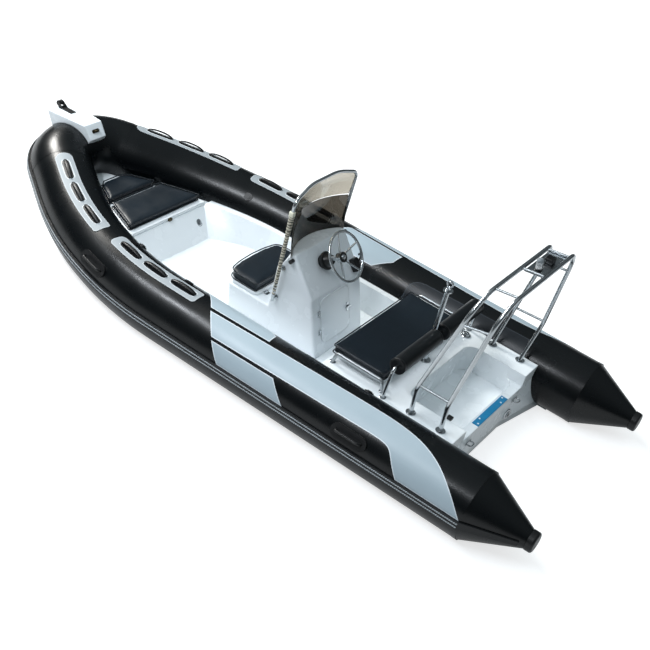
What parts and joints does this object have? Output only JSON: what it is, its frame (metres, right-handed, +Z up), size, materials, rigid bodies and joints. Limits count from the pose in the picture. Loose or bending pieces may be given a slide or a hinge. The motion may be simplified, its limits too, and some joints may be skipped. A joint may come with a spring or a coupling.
{
  "type": "rigid inflatable boat",
  "caption": "Rigid-hull inflatable boat with black tubes, a helm console with a windscreen, cushioned seats, a stainless stern arch and a stepped bow.",
  "frame": {"origin": "on the waterline at mid length, on the centreline", "axes": "+X towards the bow, +Y to port, +Z up"},
  "size_m": [4.623, 2.0314, 1.6143],
  "materials": {
    "tube_fabric": "satin",
    "gelcoat_white": "gloss",
    "gelcoat_grey": "gloss",
    "gelcoat_hull": "gloss",
    "patch_grey": "matte",
    "black_rubber": "matte",
    "rail_grey": "matte",
    "black_plastic": "satin",
    "cushion_vinyl": "satin",
    "stainless": "polished",
    "smoked_acrylic": "gloss",
    "clear_acrylic": "gloss",
    "blue_plastic": "satin",
    "lamp_white": "gloss"
  },
  "bodies": {
    "boat": {"tube_port": "tube_fabric", "tube_starboard": "tube_fabric", "tube_bow": "tube_fabric", "tube_end_caps": "black_plastic", "rub_rail": "black_rubber", "rail_beads": "rail_grey", "tube_patches": "patch_grey", "grab_handles_mid": "black_rubber", "grab_handles_bow": "black_rubber", "carry_handles": "black_rubber", "tube_fittings": "black_plastic", "hull_shell": "gelcoat_hull", "cockpit_liner": "gelcoat_white", "bow_deck": "gelcoat_white", "aft_deck": "gelcoat_white", "clamp_pad": "blue_plastic", "bow_step": "gelcoat_white", "bow_roller_bracket": "black_plastic", "bow_fittings": "black_plastic", "console_shell": "gelcoat_grey", "windscreen_frame": "stainless", "windscreen": "smoked_acrylic", "windscreen_upper": "clear_acrylic", "windscreen_knobs": "black_plastic", "helm_boot": "black_plastic", "throttle": "black_plastic", "bench_cushion": "cushion_vinyl", "bench_rails": "stainless", "backrest_frame": "stainless", "backrest_bolsters": "cushion_vinyl", "ski_post": "stainless", "arch_forward_hoop": "stainless", "arch_aft_hoop": "stainless", "arch_feet": "stainless", "arch_rungs": "stainless", "light_plate": "stainless", "stern_light": "lamp_white", "horn": "black_plastic", "stern_fittings": "stainless", "deck_filler": "stainless", "hinge_leaves": "stainless"},
    "steering_wheel": {"steering_wheel": "stainless"},
    "console_door": {"console_door": "gelcoat_grey", "console_latch": "black_plastic"},
    "front_seat_lid": {"front_seat_lid": "gelcoat_grey", "front_cushion": "cushion_vinyl"},
    "bow_locker_lid": {"bow_locker_lid": "gelcoat_white", "bow_cushion_aft": "cushion_vinyl", "bow_cushion_front": "cushion_vinyl"},
    "bow_roller": {"bow_roller": "black_rubber"}
  },
  "joints": [
    {"name": "steering_turn", "type": "hinge", "parent": "boat", "child": "steering_wheel", "pos_m": [-0.19271, 0.05, 0.61786], "axis": [-0.7809, 0, 0.6247], "range_deg": [-540, 540]},
    {"name": "console_door_swing", "type": "hinge", "parent": "boat", "child": "console_door", "pos_m": [-0.37482, 0.209, 0.29586], "axis": [-0.3017, 0, -0.9534], "range_deg": [0, 38]},
    {"name": "front_seat_lid_lift", "type": "hinge", "parent": "boat", "child": "front_seat_lid", "pos_m": [0.096, 0, 0.263], "axis": [0, -1, 0], "range_deg": [0, 80]},
    {"name": "bow_locker_lid_lift", "type": "hinge", "parent": "boat", "child": "bow_locker_lid", "pos_m": [1.702, 0, 0.2385], "axis": [0, 1, 0], "range_deg": [0, 40]},
    {"name": "bow_roller_spin", "type": "hinge", "parent": "boat", "child": "bow_roller", "pos_m": [2.26058, 0, 0.64192], "axis": [0, 1, 0], "continuous": true}
  ]
}
